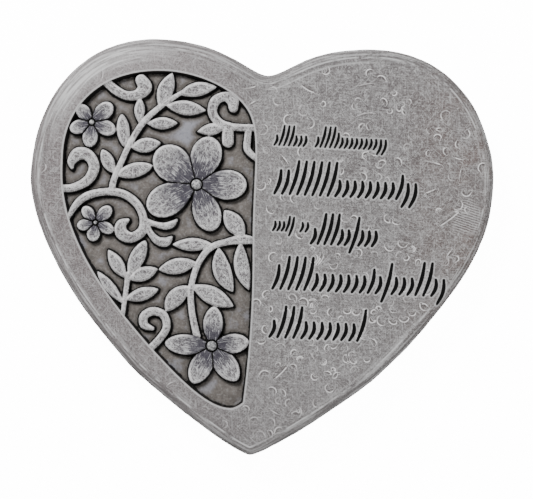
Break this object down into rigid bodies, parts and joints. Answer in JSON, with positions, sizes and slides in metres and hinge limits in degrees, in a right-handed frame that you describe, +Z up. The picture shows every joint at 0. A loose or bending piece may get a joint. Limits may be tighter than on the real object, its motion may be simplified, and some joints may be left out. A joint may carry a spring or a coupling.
{
  "type": "memorial stepping stone",
  "caption": "Heart-shaped cast garden stone, a sunk panel of flowers and scrolls in relief on one half, rows of shallow strokes on the other.",
  "frame": {"origin": "middle of the bounding box on the flat underside", "axes": "+Z up out of the face, +Y from the tip to the cleft of the heart, +X to the right when the face is looked at with the cleft up"},
  "size_m": [0.29, 0.258, 0.027],
  "materials": {
    "cast_concrete": "matt cast concrete, light gray with a dark wash in the hollows, dry-brushed high spots and black strokes"
  },
  "bodies": {
    "root": {"heart_stone": "cast_concrete"}
  },
  "joints": []
}
